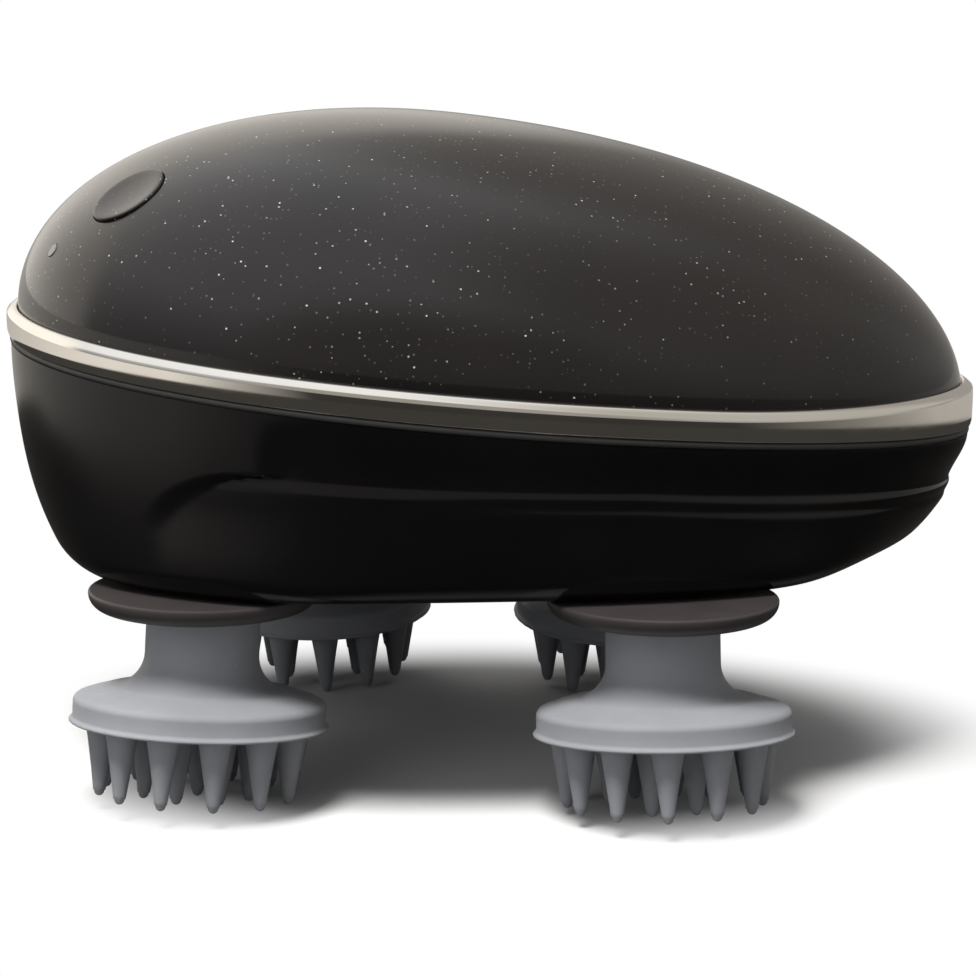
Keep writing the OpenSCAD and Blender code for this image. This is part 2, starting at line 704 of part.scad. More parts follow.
module circuit_board() {
  color([0.05, 0.35, 0.15]) at_dome(button_bearing, button_climb)
    translate([board_shift, 0, -board_drop - board_height]) difference() {
      translate([-board_length / 2, -board_width / 2, 0]) cube([board_length, board_width, board_height]);
      for (x = [-1, 1]) translate([x * board_screw_x, 0, -1]) cylinder(d = small_screw_d, h = board_height + 2);
    }
}

module board_screws() {
  color([0.6, 0.6, 0.62]) at_dome(button_bearing, button_climb) for (x = [-1, 1])
    translate([board_shift + x * board_screw_x, 0, -board_drop - board_height])
      screw(small_screw_d - 0.2, small_head_r, small_head_h, board_screw_length);
}

module tact_switch() {
  color([0.15, 0.15, 0.15]) at_dome(button_bearing, button_climb) translate([0, 0, -board_drop])
    difference() {
      translate([-switch_size / 2, -switch_size / 2, 0])
        cube([switch_size, switch_size, switch_height - 0.8]);
      rod(2 * plunger_r + 2 * run_gap, 0.6, switch_height);
    }
}

module switch_plunger() {
  color([0.75, 0.75, 0.73]) at_dome(button_bearing, button_climb)
    rod(2 * plunger_r, -board_drop + 0.7 + button_travel, -board_drop + switch_height);
}

module power_button() {
  color([0.06, 0.055, 0.055]) at_dome(button_bearing, button_climb) difference() {
    union() {
      rod(2 * button_r, guide_low - slack, button_proud);
      rod(2 * button_flange_r, guide_low - 0.9, guide_low - slack);
      rod(2 * stem_r, -board_drop + switch_height, -1);
    }
    translate([0, 0, button_proud + sqrt(button_dish_r * button_dish_r - pow(button_r - 0.8, 2))])
      sphere(r = button_dish_r);
  }
}

module light_pipe() {
  color([0.85, 0.9, 0.95]) at_dome(light_bearing, light_climb) union() {
    translate([0, 0, -5]) cylinder(r = light_r, h = 5.1);
    translate([0, 0, -5.6]) cylinder(r = light_r + 0.8, h = 0.6);
  }
}

module charging_socket() {
  r = socket_height / 2;
  half = socket_width / 2 - r;
  color([0.6, 0.6, 0.62]) translate([flap_back_x + 0.8, 0, socket_z + r]) rotate([90, 0, 90]) union() {
    difference() {
      linear_extrude(socket_depth) pill(half, r);
      translate([0, 0, -1]) linear_extrude(socket_depth) pill(half, r - 0.4);
    }
    translate([-half, -0.4, 0.8]) cube([2 * half, 0.8, socket_depth - 1]);
  }
}

module pill(half, r) {
  union() {
    translate([-half, 0]) circle(r);
    translate([half, 0]) circle(r);
    translate([-half, -r]) square([2 * half, 2 * r]);
  }
}

module port_cover() {
  color([0.08, 0.08, 0.08]) union() {
    translate([0, 0, flap_z]) flap_pill(0, flap_face_x, flap_face_x + flap_thick / 2);
    translate([0, 0, flap_z]) flap_pill(-0.3, flap_face_x, flap_back_x - slack / 2);
    hinge_bead(0);
  }
}

// ---- massage heads, numbered front blunt, front narrow, back blunt, back narrow ----
function head_centre(i) = shafts[i] + crank_offset * [cos(crank_angles[i]), sin(crank_angles[i])];

module in_head(i) {
  c = head_centre(i);
  translate([c[0], c[1], collar_z]) rotate([0, 0, lean_angles[i]]) rotate([0, -head_lean, 0])
    children();
}

module under_collar(i) {
  c = head_centre(i);
  translate([c[0] - 2 * flange_r, c[1] - 2 * flange_r, collar_z])
    cube([4 * flange_r, 4 * flange_r, head_height]);
}

module head_gear(i) {
  away = atan2(shafts[i][1], shafts[i][0] - shaft_mid_x);
  color([0.92, 0.92, 0.88]) translate([shafts[i][0], shafts[i][1], gear_z])
    gear_body(gear_module, head_teeth, gear_width, shaft_d / 2, mesh_turn(head_teeth, sun_teeth, away));
}

module head_shaft(i) {
  color([0.7, 0.7, 0.72]) translate([shafts[i][0], shafts[i][1], 0])
    rod(shaft_d, collar_z + 1, cover_top);
}

module collar(i) {
  c = head_centre(i);
  r = collar_round;
  arc = [for (a = [-90:15:0]) [collar_r - r + r * cos(a), r + r * sin(a)]];
  rim = [[collar_r, collar_height - 0.4], [collar_r - 0.4, collar_height], [0, collar_height]];
  color([0.42, 0.42, 0.44]) difference() {
    translate([c[0], c[1], collar_z]) rotate_extrude($fn = 96)
      polygon(concat([[0, 0]], arc, rim));
    translate([shafts[i][0], shafts[i][1], collar_z + 1]) cylinder(d = shaft_d, h = collar_height + 2);
  }
}

// Section of the core: a spigot with a plate in the flange
module core_section(grow) {
  low = -head_height + node_length + 1.2 - grow;
  high = low + core_plate + 2 * grow;
  polygon([[0, low], [core_plate_r + grow, low], [core_plate_r + grow, high],
    [core_r + grow, high], [core_r + grow, 5], [0, 5]]);
}

module head_core(i) {
  color([0.75, 0.75, 0.73]) difference() {
    in_head(i) rotate_extrude() core_section(0);
    under_collar(i);
  }
}

module massage_node(x, y) {
  tip = [for (a = [-70:20:10]) [node_tip_r * cos(a), node_tip_r + node_tip_r * sin(a)]];
  root = [[node_root_r, node_length], [node_root_r, node_length + 0.3]];
  translate([x, y, -head_height]) rotate_extrude($fn = 16)
    polygon(concat([[0, node_length + 0.3], [0, 0]], tip, root));
}

module silicone_head(i) {
  base = -head_height + node_length;
  shoulder = base + flange_wall;
  fillet_r = 4.2;
  fillet_z = shoulder + 1.3 + fillet_r;
  lip = [[0, base], [flange_r + lip_overhang, base], [flange_r + lip_overhang, base + 0.5]];
  wall = [[flange_r, base + 0.6], [flange_r, shoulder - 0.7], [flange_r - 0.7, shoulder]];
  flare = [for (a = [270:-15:180]) [neck_r, fillet_z] + fillet_r * [1 + cos(a), sin(a)]];
  color([0.45, 0.45, 0.47]) difference() {
    in_head(i) difference() {
      union() {
        rotate_extrude($fn = 96) polygon(concat(lip, wall, flare, [[neck_r, 5], [0, 5]]));
        rotate(node_angles[i]) massage_nodes();
      }
      rotate_extrude() core_section(0);
    }
    under_collar(i);
    translate([-big / 2, -big / 2, -big]) cube(big);
  }
}

module massage_nodes() {
  massage_node(0, 0);
  for (k = [0:inner_nodes - 1]) massage_node(node_inner_circle * cos(k * 360 / inner_nodes),
    node_inner_circle * sin(k * 360 / inner_nodes));
  for (k = [0:outer_nodes - 1]) massage_node(node_circle * cos(k * 360 / outer_nodes),
    node_circle * sin(k * 360 / outer_nodes));
}

top_shell();
lower_shell();
chrome_band();
seam_gasket();
gearbox_cover();
shaft_bushes();
shaft_seals();
sun_axle();
idler_pin();
motor_can();
motor_reducer();
motor_screws();
cover_screws();
housing_screws();
battery();
battery_tray();
circuit_board();
board_screws();
tact_switch();
switch_plunger();
charging_socket();
light_pipe();
power_button();
port_cover();
sun_gear();
idler_gear();
motor_shaft();
motor_pinion();
head_gear(0);  // head_gear_1
head_gear(1);  // head_gear_2
head_gear(2);  // head_gear_3
head_gear(3);  // head_gear_4
head_shaft(0);  // head_shaft_1
head_shaft(1);  // head_shaft_2
head_shaft(2);  // head_shaft_3
head_shaft(3);  // head_shaft_4
collar(0);  // collar_1
collar(1);  // collar_2
collar(2);  // collar_3
collar(3);  // collar_4
head_core(0);  // head_core_1
head_core(1);  // head_core_2
head_core(2);  // head_core_3
head_core(3);  // head_core_4
silicone_head(0);  // silicone_head_1
silicone_head(1);  // silicone_head_2
silicone_head(2);  // silicone_head_3
silicone_head(3);  // silicone_head_4
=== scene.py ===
import bpy
import bmesh
import math
from mathutils import Matrix, Vector


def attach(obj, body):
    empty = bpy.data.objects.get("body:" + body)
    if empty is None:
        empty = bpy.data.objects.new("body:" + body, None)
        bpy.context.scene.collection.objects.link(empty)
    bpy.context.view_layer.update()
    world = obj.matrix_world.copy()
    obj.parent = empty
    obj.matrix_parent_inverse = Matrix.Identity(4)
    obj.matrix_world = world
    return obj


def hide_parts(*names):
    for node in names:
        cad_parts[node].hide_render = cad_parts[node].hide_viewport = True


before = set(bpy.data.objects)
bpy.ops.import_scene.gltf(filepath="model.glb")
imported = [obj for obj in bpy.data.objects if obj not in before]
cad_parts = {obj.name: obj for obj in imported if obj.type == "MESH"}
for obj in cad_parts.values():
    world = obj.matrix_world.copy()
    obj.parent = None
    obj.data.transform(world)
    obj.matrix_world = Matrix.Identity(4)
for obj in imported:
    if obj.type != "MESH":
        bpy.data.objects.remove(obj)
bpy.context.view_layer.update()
MM = 0.001
TAU = 2 * math.pi

# ---- sizes shared with the frame, in millimetres ----
# outline of the body, and the seam that slopes down to the narrow end
HALF_L = 65.0
EGG = 0.19
HALF_W = 99 / 2 / (1 + EGG * EGG / 2)
SLOPE = math.tan(math.radians(5.2))
SEAM = 53.2

# band, its rise at the narrow end, and the seal below it
BAND_H = 3.9
RISE = 2.2
BAND_WALL = 1.2
SWELL = 0.25
FLANGE = 3.2
GASKET_H = 0.9
GASKET_LOW = -BAND_H / 2 - GASKET_H

# dome
SHELL_IN = BAND_WALL + 0.1
DOME_H = 30.6
PEAK_X = -5.4
DOME_ROUND = 0.96
DOME_SWELL = 1.01
WALL = 2.2
SKIRT = -BAND_H / 2 + 1.05

# heads and collars
HEAD_H = 24.6
NODE_H = 9.3
NODE_ROOT = 2.1
TIP_R = 0.65
TIP_CIRCLE = 12.4
INNER_CIRCLE = 7.2
NECK_R = 7.3
NECK_FILLET = 4.2
LEAN = 6.0
COLLAR_R = 14.7
COLLAR_H = 2.4
COLLAR_ROUND = 2.0
COLLAR_EDGE = 0.35
CRANK = 5.0
COLLAR_Z = ((HEAD_H - TIP_R) * math.cos(math.radians(LEAN)) + TIP_CIRCLE * math.sin(math.radians(LEAN))
            + TIP_R - 0.1)

# hull, whose belly is flat just above the collars
RIM_IN = 0.3
HULL_D = 28.8
KEEL_X = -42.0
HULL_ROUND = 0.49
HULL_SWELL = 0.99
FLANK = 0.08
FULL = 0.92
BEND = 3.2
CEILING = COLLAR_Z + COLLAR_H + 0.3

# places of the shafts and screw posts, and wells in the hull for them
SHAFT_Y = math.sqrt(40.5 ** 2 - 26.4 ** 2)
SHAFTS = [(-31.25, -SHAFT_Y), (21.55, -SHAFT_Y), (-31.25, SHAFT_Y), (21.55, SHAFT_Y)]
POSTS = [(-52, -16.045), (-52, 16.045), (44.55, -15.559), (44.55, 15.559)]
POST_WELL_R = 2.8
SHAFT_WELL_R = 3.2
WELL_START = 5

# each head's crank angle, direction of lean and turn of its nodes, in degrees
CRANK_A = [236, 305, 45, 135]
LEAN_A = [250, 285, 90, 90]
NODE_A = [8, 18, 10, 24]

# button and light, in degrees round the outline and up the dome, and their holes
BUTTON = (212.2, 35.8)
BUTTON_R = 5.2
BUTTON_HOLE_R = 5.35
BUTTON_DEEP = 2.7
LIGHT = (205.0, 18.0)
LIGHT_HOLE_R = 1.0
LIGHT_DEEP = 1.6

# charging port at the blunt end, and its cover with a hinge below
PORT_Z = 46.4
PORT_HALF = 3.0
RECESS_R = 3.7
RECESS_X = -61.4
SOCKET_HALF = 2.85
SOCKET_R = 1.65
COVER_R = 3.5
COVER_IN_X = -61.45
COVER_OUT_X = -62.9
HINGE_X = -62.9
HINGE_Z = 42.9
HINGE_R = 0.45
HINGE_LENGTH = 5.0
TROUGH_R = 0.5
TROUGH_LENGTH = 5.2

# fineness of the meshes
DOME_SEG = 320
DOME_RINGS = 88
HULL_SEG = 320
HULL_RINGS = 96
BAND_SEG = 480


# ---- shape of the body: t goes round the outline and s climbs away from the seam, in radians ----
def egg(t):
    return HALF_L * math.cos(t), HALF_W * math.sin(t) * (1 - EGG * math.cos(t))


def egg_out(t):
    """Outward direction of the outline."""
    dx = -HALF_L * math.sin(t)
    dy = HALF_W * (math.cos(t) * (1 - EGG * math.cos(t)) + EGG * math.sin(t) ** 2)
    n = math.hypot(dx, dy)
    return dy / n, -dx / n


def outline(t, out):
    x, y = egg(t)
    nx, ny = egg_out(t)
    return x + out * nx, y + out * ny


def seam_z(x):
    return SEAM - SLOPE * x


def tip_share(x):
    """0 over most of the length, climbing to 1 at the narrow end."""
    return max(0.0, (x - 0.46 * HALF_L) / (0.54 * HALF_L)) ** 2


def smooth(v):
    u = min(1.0, max(0.0, v))
    return u * u * (3 - 2 * u)


def dome_point(t, s):
    rx, ry = outline(t, -SHELL_IN)
    c = max(0.0, math.cos(s)) ** DOME_ROUND
    h = DOME_H * math.sin(s) ** DOME_SWELL
    x = PEAK_X + (rx - PEAK_X) * c
    return Vector((x, ry * c, seam_z(x) + BAND_H / 2 + h))


def dome_normal(t, s):
    e = 0.002
    a = dome_point(t + e, s) - dome_point(t - e, s)
    b = dome_point(t, s + e) - dome_point(t, s - e)
    return a.cross(b).normalized()


def groove(drop, crease, double):
    """Depth of the grip pad below its crease: one long fade, or two ridges as double goes to 1."""
    if drop < crease:
        return smooth(drop / crease)
    d = drop - crease
    twice = 1 - 0.35 * smooth(d / 1.2) - 0.25 * smooth((d - 2) / 1.2) - 0.4 * smooth((d - 4) / 7)
    once = 1 - 0.5 * smooth(d / 1.9) - 0.5 * smooth((d - 4) / 11)
    return double * twice + (1 - double) * once


def end_groove(drop, crease):
    """Shallow finger groove at the blunt end."""
    if drop < crease:
        return smooth(drop / crease)
    return 1 - smooth((drop - crease) / 16)


def groove_at(x, drop):
    crease = 5.8 - min(0.0, 0.045 * (x - 22))
    deep = 0.6 + 0.75 * tip_share(x)
    # the pad ends towards the blunt end in a rounded upper corner
    climb = max(0.0, 1 - max(0.0, drop - crease) / 9)
    corner = 15 * (1 - math.sqrt(1 - climb * climb))
    right = smooth((x + 40 - corner) / 2.6)
    pad = deep * right * groove(drop, crease, smooth((x + 12) / 24))
    return pad + 0.15 * smooth((-53 - x) / 5) * end_groove(drop, crease)


def hull_point(t, s):
    rx, ry = outline(t, -RIM_IN)
    nx, ny = egg_out(t)
    # 1 at the four corners over the heads, where the hull is fuller
    full = (math.sin(2 * t) * math.sin(t)) ** 2 / 0.5625
    c = max(0.0, math.cos(s)) ** (HULL_ROUND * (1 - FULL * full))
    drop = HULL_D * math.sin(s) ** HULL_SWELL
    x = KEEL_X + (rx - KEEL_X) * c
    y = ry * c ** FLANK
    # the side bends into the flat belly
    fall = seam_z(x) + GASKET_LOW - drop - CEILING
    turn = min(math.pi / 2, max(0.0, 1 - fall / BEND))
    deep = groove_at(x, drop) * c + BEND * (1 - math.cos(turn))
    return Vector((x - deep * nx, y - deep * ny, CEILING + max(fall, BEND * (1 - math.sin(turn)))))


def belly_climb(t):
    """The s at which the hull's side has reached the belly."""
    x = KEEL_X + 0.8 * (outline(t, 0)[0] - KEEL_X)
    share = (seam_z(x) + GASKET_LOW - CEILING + 0.7 * BEND) / HULL_D
    return math.asin(min(0.998, share ** (1 / HULL_SWELL)))


# ---- mesh helpers ----
def add_mesh(name, verts, faces, body, nodes=(), slot=None, mat=None, flat=False, angle=35):
    me = bpy.data.meshes.new(name)
    me.from_pydata([Vector(v) * MM for v in verts], [], faces)
    me.validate()
    me.update()
    ob = bpy.data.objects.new(name, me)
    bpy.context.scene.collection.objects.link(ob)
    if not flat:
        me.shade_smooth()
        me.set_sharp_from_angle(angle=math.radians(angle))
    if body:
        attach(ob, body)
    if nodes:
        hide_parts(*nodes)
    if mat:
        me.materials.append(mat)
    return ob


def lofted(rings, close_first=False, close_last=False, loop=False):
    """Skin over rings of equal count. A closed end gets a fan, and a loop joins the last ring to the first."""
    verts, faces = [], []
    n = len(rings[0])
    for r in rings:
        verts.extend(r)
    count = len(rings)
    for i in range(count if loop else count - 1):
        m = (i + 1) % count
        for j in range(n):
            k = (j + 1) % n
            faces.append((i * n + j, i * n + k, m * n + k, m * n + j))
    for flag, i, turn in ((close_first, 0, -1), (close_last, count - 1, 1)):
        if flag:
            c = len(verts)
            verts.append(sum((Vector(v) for v in rings[i]), Vector()) / n)
            for j in range(n):
                k = (j + 1) % n
                faces.append((c, i * n + j, i * n + k) if turn > 0 else (c, i * n + k, i * n + j))
    return verts, faces


def circle(x, y, r, z, seg):
    return [Vector((x + r * math.cos(j * TAU / seg), y + r * math.sin(j * TAU / seg), z)) for j in range(seg)]


def revolved(profile, seg):
    return [circle(0, 0, r, z, seg) for r, z in profile]


def cylinder(x, y, r, z0, z1, seg):
    return lofted([circle(x, y, r, z, seg) for z in (z0, z1)], True, True)


def arc(cx, cz, r, a0, a1, n):
    points = []
    for i in range(n + 1):
        a = math.radians(a0 + (a1 - a0) * i / n)
        points.append((cx + r * math.cos(a), cz + r * math.sin(a)))
    return points


def rod_y(x, z, r, length):
    seg = 32
    rings = []
    for y in (-length / 2, length / 2):
        ring = []
        for i in range(seg):
            a = i * TAU / seg
            ring.append(Vector((x + r * math.cos(a), y, z - r * math.sin(a))))
        rings.append(ring)
    return lofted(rings, True, True)


def port_ring(half, r, x, seg):
    """Stadium outline across x at the port: two half circles, their centres half to either side."""
    ring = []
    for side, start in ((half, -math.pi / 2), (-half, math.pi / 2)):
        for i in range(seg + 1):
            a = start + math.pi * i / seg
            ring.append(Vector((x, side + r * math.cos(a), PORT_Z + r * math.sin(a))))
    return ring


def port_prism(half, r, x0, x1):
    return lofted([port_ring(half, r, x, 24) for x in (x0, x1)], True, True)


def join_parts(parts):
    verts, faces = [], []
    for v, f in parts:
        k = len(verts)
        verts.extend(v)
        faces.extend([tuple(i + k for i in face) for face in f])
    return verts, faces


def cut_away(target, cutter):
    mod = target.modifiers.new("cut", "BOOLEAN")
    mod.operation = "DIFFERENCE"
    mod.object = cutter
    mod.solver = "MANIFOLD"
    bpy.context.view_layer.update()
    dg = bpy.context.evaluated_depsgraph_get()
    me = bpy.data.meshes.new_from_object(target.evaluated_get(dg))
    target.modifiers.clear()
    old = target.data
    target.data = me
    bpy.data.meshes.remove(old)
    bpy.data.objects.remove(cutter)


# ---- material helpers ----
def grey(v):
    return (v, v, v, 1)


WHITE = grey(1)
BLACK = grey(0)


def new_mat(name):
    m = bpy.data.materials.new(name)
    m.use_nodes = True
    nt = m.node_tree
    for n in list(nt.nodes):
        nt.nodes.remove(n)
    out = nt.nodes.new("ShaderNodeOutputMaterial")
    bsdf = nt.nodes.new("ShaderNodeBsdfPrincipled")
    nt.links.new(bsdf.outputs[0], out.inputs[0])
    return m, nt, bsdf


def coords(nt):
    return nt.nodes.new("ShaderNodeTexCoord").outputs["Object"]


def noise(nt, coord, scale, detail=3.0):
    n = nt.nodes.new("ShaderNodeTexNoise")
    n.inputs["Scale"].default_value = scale
    n.inputs["Detail"].default_value = detail
    n.inputs["Roughness"].default_value = 0.5
    nt.links.new(coord, n.inputs["Vector"])
    return n.outputs["Fac"]


def ramp(nt, source, stops):
    r = nt.nodes.new("ShaderNodeValToRGB")
    el = r.color_ramp.elements
    while len(el) < len(stops):
        el.new(0.5)
    for e, (p, c) in zip(el, stops):
        e.position = p
        e.color = c if len(c) == 4 else (*c, 1)
    nt.links.new(source, r.inputs[0])
    return r.outputs[0]


def bump(nt, bsdf, height, strength, distance):
    b = nt.nodes.new("ShaderNodeBump")
    b.inputs["Strength"].default_value = strength
    b.inputs["Distance"].default_value = distance
    nt.links.new(height, b.inputs["Height"])
    nt.links.new(b.outputs[0], bsdf.inputs["Normal"])


def product(nt, first, second):
    n = nt.nodes.new("ShaderNodeMath")
    n.operation = "MULTIPLY"
    nt.links.new(first, n.inputs[0])
    nt.links.new(second, n.inputs[1])
    return n.outputs[0]


def between(nt, value, start, end, kind="SMOOTHSTEP"):
    """0 up to start, 1 from end on."""
    n = nt.nodes.new("ShaderNodeMapRange")
    n.interpolation_type = kind
    n.inputs["From Min"].default_value = start
    n.inputs["From Max"].default_value = end
    nt.links.new(value, n.inputs["Value"])
    return n.outputs[0]


def mixed(nt, share, below, above):
    """Colour from below to above by share. Each colour is a socket, or four numbers."""
    n = nt.nodes.new("ShaderNodeMix")
    n.data_type = "RGBA"
    nt.links.new(share, n.inputs["Factor"])
    for key, colour in (("A", below), ("B", above)):
        if isinstance(colour, tuple):
            n.inputs[key].default_value = colour
        else:
            nt.links.new(colour, n.inputs[key])
    return n.outputs["Result"]


def shader_mix(nt, share, below, above):
    n = nt.nodes.new("ShaderNodeMixShader")
    for i, socket in enumerate((share, below, above)):
        nt.links.new(socket, n.inputs[i])
    return n.outputs[0]


def specks(nt, coord, scale, core, edge, channel, chosen):
    """Tiny dots, one to a cell, and the brightness that each cell has of its own."""
    v = nt.nodes.new("ShaderNodeTexVoronoi")
    v.inputs["Scale"].default_value = scale
    nt.links.new(coord, v.inputs["Vector"])
    dot = ramp(nt, v.outputs["Distance"], [(core, WHITE), (edge, BLACK)])
    sep = nt.nodes.new("ShaderNodeSeparateColor")
    nt.links.new(v.outputs["Color"], sep.inputs[0])
    return dot, ramp(nt, sep.outputs[channel], chosen)


# ---- materials ----
def simple_material(name, base, rough, metallic=0.0, variation=0.08, scale=300, bump_scale=900, bump_mm=0.01,
                    rough_variation=0.06, specular=0.5):
    m, nt, b = new_mat(name)
    co = coords(nt)
    lo = [max(0.0, c * (1 - variation)) for c in base]
    hi = [min(1.0, c * (1 + variation)) for c in base]
    nt.links.new(ramp(nt, noise(nt, co, scale), [(0.3, lo), (0.7, hi)]), b.inputs["Base Color"])
    smoother = grey(max(0.02, rough - rough_variation))
    rougher = grey(rough + rough_variation)
    finish = ramp(nt, noise(nt, co, scale * 0.37, 4), [(0.3, smoother), (0.7, rougher)])
    nt.links.new(finish, b.inputs["Roughness"])
    b.inputs["Metallic"].default_value = metallic
    b.inputs["Specular IOR Level"].default_value = specular
    bump(nt, b, noise(nt, co, bump_scale, 2), 0.5, bump_mm * MM)
    return m


def dome_material(name):
    """Black lacquer with sparse metal flake under a clear coat."""
    m, nt, b = new_mat(name)
    co = coords(nt)
    dot, own = specks(nt, co, 1500, 0.14, 0.24, 0, [(0.62, BLACK), (0.90, grey(0.16)), (1.0, WHITE)])
    dense = ramp(nt, noise(nt, co, 26, 2), [(0.36, grey(0.25)), (0.54, WHITE)])
    flake = product(nt, product(nt, dot, dense), own)
    base = ramp(nt, noise(nt, co, 45, 4), [(0.3, (0.008, 0.0068, 0.0068)), (0.7, (0.012, 0.0100, 0.0100))])
    nt.links.new(mixed(nt, flake, base, (0.62, 0.6, 0.55, 1)), b.inputs["Base Color"])
    b.inputs["Roughness"].default_value = 0.32
    b.inputs["Specular IOR Level"].default_value = 0.2
    b.inputs["Coat Weight"].default_value = 0.72
    b.inputs["Coat Roughness"].default_value = 0.04
    b.inputs["Coat IOR"].default_value = 1.42
    bump(nt, b, noise(nt, co, 130, 2), 0.35, 0.02 * MM)
    return m


def chrome_material(name):
    m, nt, b = new_mat(name)
    co = coords(nt)
    base = ramp(nt, noise(nt, co, 60, 3), [(0.3, (0.82, 0.79, 0.73)), (0.7, (0.9, 0.88, 0.84))])
    nt.links.new(base, b.inputs["Base Color"])
    b.inputs["Metallic"].default_value = 1.0
    finish = ramp(nt, noise(nt, co, 220, 5), [(0.35, grey(0.05)), (0.75, grey(0.11))])
    nt.links.new(finish, b.inputs["Roughness"])
    bump(nt, b, noise(nt, co, 28, 1), 0.6, 0.25 * MM)
    return m


def silicone_material(name, base):
    """Matt silicone with the faint dust specks that it picks up."""
    m, nt, b = new_mat(name)
    co = coords(nt)
    tone = ramp(nt, noise(nt, co, 90, 4), [(0.3, [c * 0.93 for c in base]), (0.7, [c * 1.05 for c in base])])
    dot, own = specks(nt, co, 420, 0.05, 0.10, 1, [(0.90, BLACK), (0.98, grey(0.7))])
    nt.links.new(mixed(nt, product(nt, dot, own), tone, (0.5, 0.49, 0.47, 1)), b.inputs["Base Color"])
    grain = noise(nt, co, 500, 3)
    nt.links.new(ramp(nt, grain, [(0.3, grey(0.46)), (0.7, grey(0.6))]), b.inputs["Roughness"])
    b.inputs["Specular IOR Level"].default_value = 0.35
    b.inputs["Sheen Weight"].default_value = 0.12
    b.inputs["Subsurface Weight"].default_value = 0.08
    b.inputs["Subsurface Radius"].default_value = (0.0012, 0.001, 0.001)
    bump(nt, b, grain, 0.35, 0.02 * MM)
    return m


def lens_material(name):
    m, nt, b = new_mat(name)
    tone = ramp(nt, noise(nt, coords(nt), 1500, 2), [(0.3, (0.30, 0.30, 0.30)), (0.7, (0.42, 0.42, 0.44))])
    nt.links.new(tone, b.inputs["Base Color"])
    b.inputs["Roughness"].default_value = 0.18
    b.inputs["Transmission Weight"].default_value = 0.5
    return m


MAT = {
    "dome": dome_material("dome_lacquer"),
    "chrome": chrome_material("band_chrome_bright"),
    "silicone": silicone_material("soft_silicone", (0.325, 0.333, 0.358)),
    "hull": simple_material("hull_black", (0.0038, 0.0034, 0.0038), 0.17, variation=0.2, scale=60,
                            bump_scale=1500, bump_mm=0.004, rough_variation=0.03, specular=0.32),
    "gasket": simple_material("gasket_dark", (0.035, 0.034, 0.034), 0.55),
    # the collar's base is a dark tone darkened further as painted shade, with a warm tint that is a painted
    # reflection
    "collar": simple_material("collar_satin", (0.046, 0.040, 0.039), 0.45, variation=0.12, scale=120,
                              bump_scale=1400),
    "inner": simple_material("inner_moulding", (0.6, 0.6, 0.56), 0.45),
    "bronze": simple_material("bush_bronze_sintered", (0.42, 0.28, 0.13), 0.38, metallic=1.0, variation=0.15,
                              scale=700),
    "seal": simple_material("seal_black", (0.02, 0.02, 0.02), 0.5),
    "steel": simple_material("steel_ground", (0.55, 0.55, 0.57), 0.22, metallic=1.0, scale=500),
    "motor": simple_material("motor_nickel", (0.6, 0.6, 0.58), 0.28, metallic=1.0, scale=200),
    "reducer": simple_material("reducer_cast", (0.35, 0.35, 0.36), 0.5, metallic=1.0, scale=400, bump_mm=0.03),
    "screw": simple_material("screw_zinc", (0.45, 0.46, 0.48), 0.33, metallic=1.0, scale=600),
    "battery": simple_material("battery_shrink", (0.02, 0.06, 0.2), 0.28, scale=80, bump_scale=120,
                               bump_mm=0.1),
    "board": simple_material("board_mask", (0.01, 0.12, 0.04), 0.3, scale=900),
    "switch": simple_material("switch_body", (0.02, 0.02, 0.02), 0.45),
    "plunger": simple_material("plunger_ivory", (0.5, 0.49, 0.45), 0.4),
    "socket": simple_material("socket_tin", (0.5, 0.5, 0.52), 0.3, metallic=1.0, scale=800),
    "flap": simple_material("flap_soft", (0.016, 0.016, 0.017), 0.5, bump_mm=0.02),
    "gear": simple_material("gear_acetal", (0.75, 0.73, 0.67), 0.38, scale=500),
    "brass": simple_material("pinion_brass_cut", (0.6, 0.42, 0.14), 0.25, metallic=1.0, scale=900),
    "core": simple_material("core_moulding", (0.4, 0.4, 0.38), 0.5),
    "light": lens_material("light_lens"),
}

NODE_MAT = {
    "gearbox_cover": "inner",
    "shaft_bushes": "bronze",
    "shaft_seals": "seal",
    "sun_axle": "steel",
    "idler_pin": "steel",
    "motor_can": "motor",
    "motor_reducer": "reducer",
    "motor_screws": "screw",
    "cover_screws": "screw",
    "housing_screws": "screw",
    "battery": "battery",
    "battery_tray": "inner",
    "circuit_board": "board",
    "board_screws": "screw",
    "tact_switch": "switch",
    "switch_plunger": "plunger",
    "charging_socket": "socket",
    "light_pipe": "light",
    "power_button": "dome",
    "port_cover": "flap",
    "sun_gear": "gear",
    "idler_gear": "gear",
    "motor_shaft": "steel",
    "motor_pinion": "brass",
    "top_shell": "dome",
    "lower_shell": "hull",
    "chrome_band": "chrome",
    "seam_gasket": "gasket",
}
HEAD_MAT = {"head_gear_": "gear", "head_shaft_": "steel", "collar_": "collar", "head_core_": "core",
            "silicone_head_": "silicone"}
for number in "1234":
    for start, kind in HEAD_MAT.items():
        NODE_MAT[start + number] = kind
for node_name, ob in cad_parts.items():
    ob.data.materials.clear()
    ob.data.materials.append(MAT[NODE_MAT[node_name]])


# ---- dome ----
def local_frame(t, s):
    """Frame on the dome at t, s in degrees, with z along its outward normal."""
    t, s = math.radians(t), math.radians(s)
    p, n = dome_point(t, s), dome_normal(t, s)
    th, ph = math.acos(n.z), math.atan2(n.y, n.x)
    return Matrix.Translation(p) @ Matrix.Rotation(ph, 4, "Z") @ Matrix.Rotation(th, 4, "Y")


